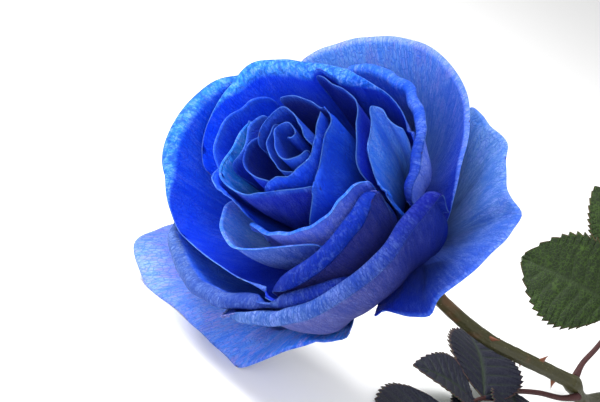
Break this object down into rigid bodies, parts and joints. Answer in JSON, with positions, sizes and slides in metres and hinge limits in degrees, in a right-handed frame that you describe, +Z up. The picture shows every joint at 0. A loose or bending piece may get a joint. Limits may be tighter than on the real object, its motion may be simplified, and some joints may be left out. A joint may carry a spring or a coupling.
{
  "type": "rose",
  "caption": "Cut blue rose with nested rolled petals, a hip with sepals, a bent prickly stem and toothed compound leaves, lying on its side.",
  "frame": {"origin": "centre of the bounding box's bottom face, on the surface the cut rose lies on", "axes": "+X from the bloom towards the cut end of the stem, +Z up from the surface, +Y to the side the upper leaf leans to"},
  "size_m": [0.2652, 0.1059, 0.1094],
  "materials": {
    "petal_heart": "soft petal, deep blue",
    "petal": "soft petal, cobalt blue",
    "petal_outer": "soft petal, paler blue",
    "hip": "matt green plant tissue",
    "stem": "satin green bark",
    "leaf": "matt dark green leaf"
  },
  "bodies": {
    "root": {"petal_heart_1": "petal_heart", "petal_heart_2": "petal_heart", "petal_heart_3": "petal_heart", "petal_heart_4": "petal_heart", "petal_heart_5": "petal_heart", "petal_inner_1": "petal", "petal_inner_2": "petal", "petal_inner_3": "petal", "petal_ring_1": "petal", "petal_ring_2": "petal", "petal_ring_3": "petal", "petal_ring_4": "petal", "petal_roll_1": "petal", "petal_roll_2": "petal", "petal_roll_3": "petal", "petal_roll_4": "petal", "petal_cup_1": "petal", "petal_cup_2": "petal", "petal_cup_3": "petal", "petal_outer_1": "petal_outer", "petal_outer_2": "petal_outer", "petal_outer_3": "petal_outer", "petal_outer_4": "petal_outer", "hip": "hip", "sepal_1": "hip", "sepal_2": "hip", "sepal_3": "hip", "sepal_4": "hip", "sepal_5": "hip", "stem": "stem", "leaf_low": "leaf", "leaf_high": "leaf"}
  },
  "joints": []
}
